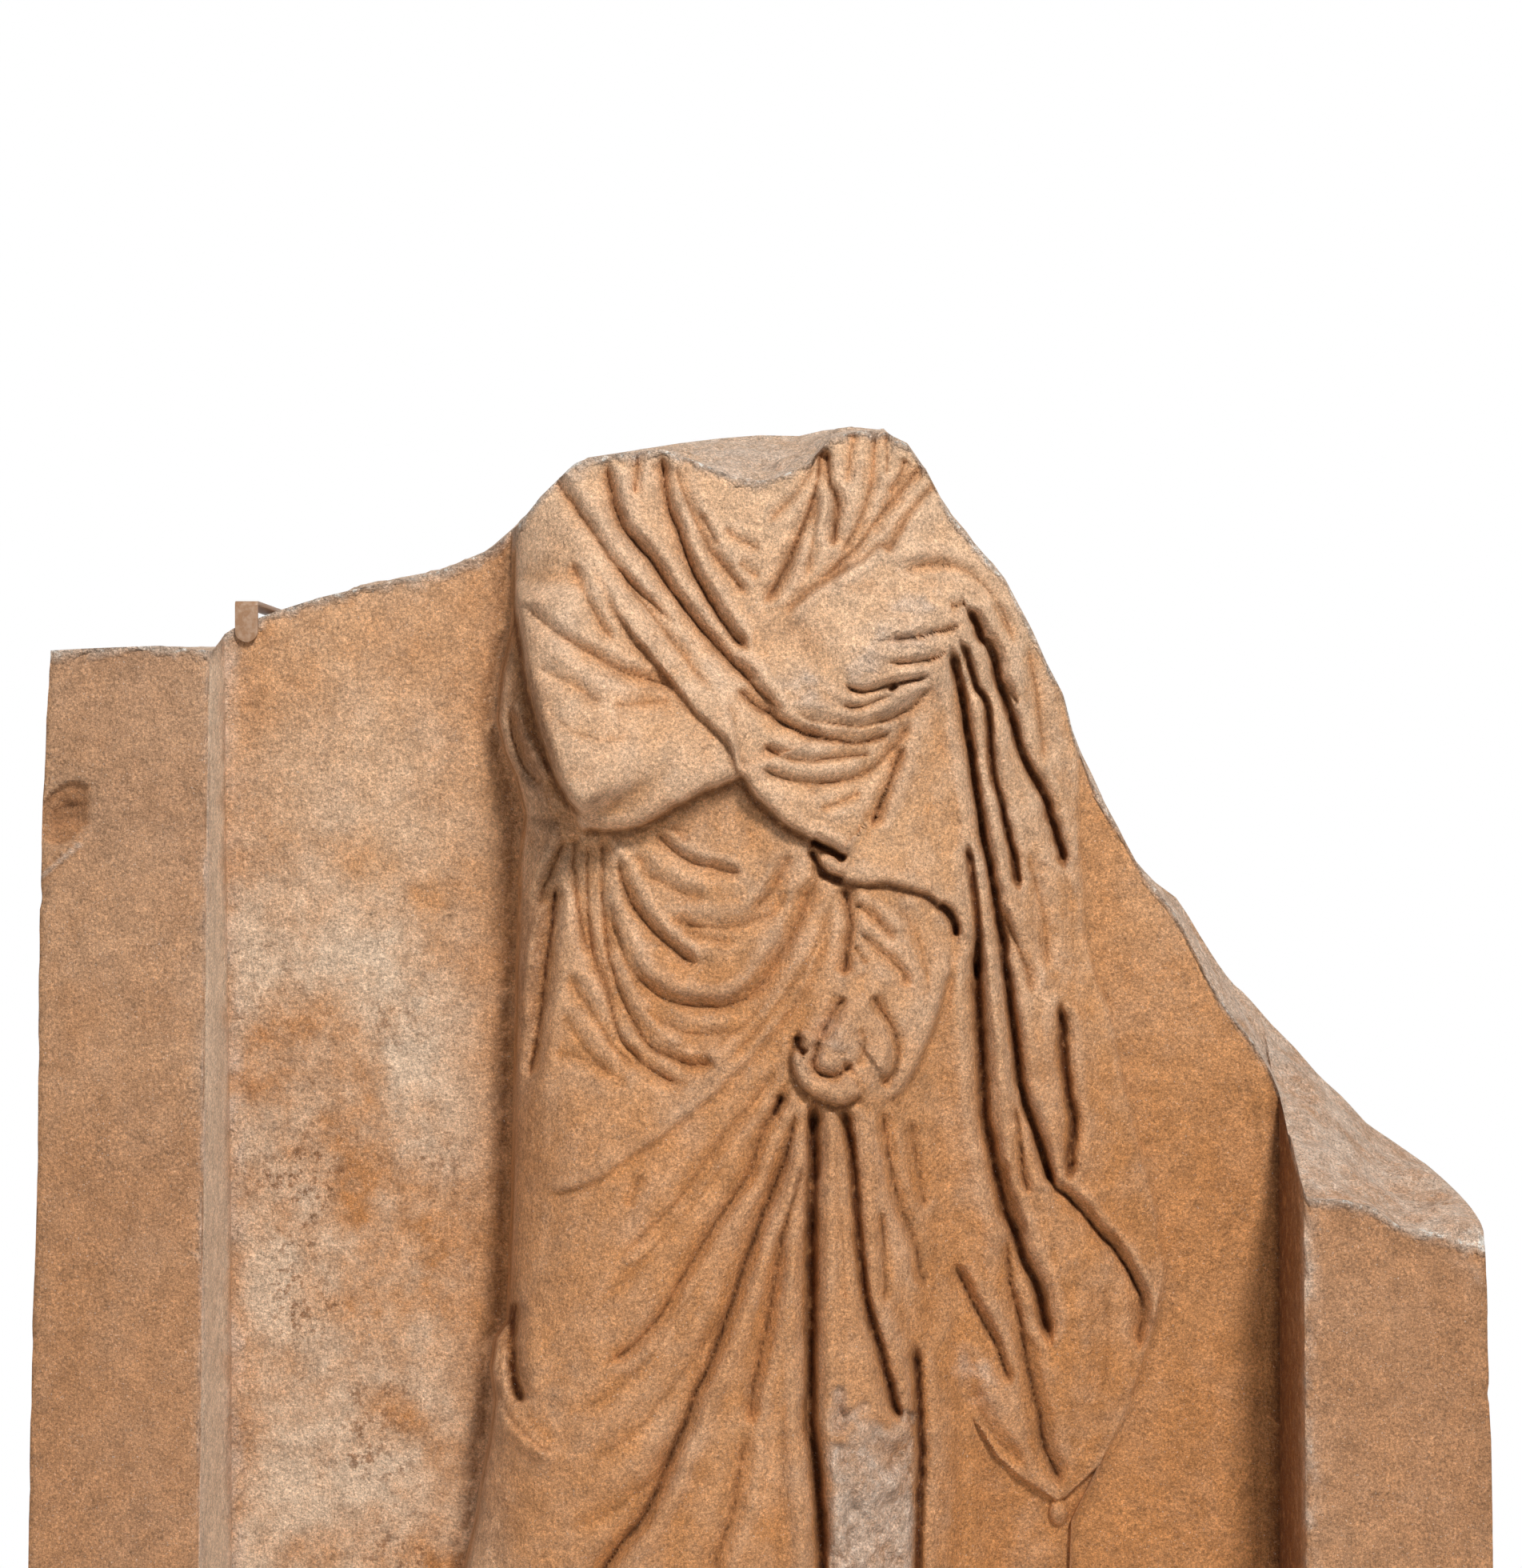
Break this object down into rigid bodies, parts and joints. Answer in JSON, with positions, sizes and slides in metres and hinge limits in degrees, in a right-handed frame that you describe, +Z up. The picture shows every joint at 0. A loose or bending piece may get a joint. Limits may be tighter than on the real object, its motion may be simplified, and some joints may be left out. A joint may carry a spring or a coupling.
{
  "type": "carved stone stele",
  "caption": "Weathered marble stele fragment: a draped, headless standing figure in high relief between two plain pilasters, on a low ledge, with a small retaining clip.",
  "frame": {"origin": "centre of the bounding box across and front to back, at the height of the flat underside", "axes": "+Z up, -Y out of the carved front, +X to the right of someone who faces the carving"},
  "size_m": [1.008, 0.2564, 1.1866],
  "materials": {
    "marble": "matte",
    "clip_paint": "satin"
  },
  "bodies": {
    "root": {"stele": "marble", "retaining_clip": "clip_paint"}
  },
  "joints": []
}
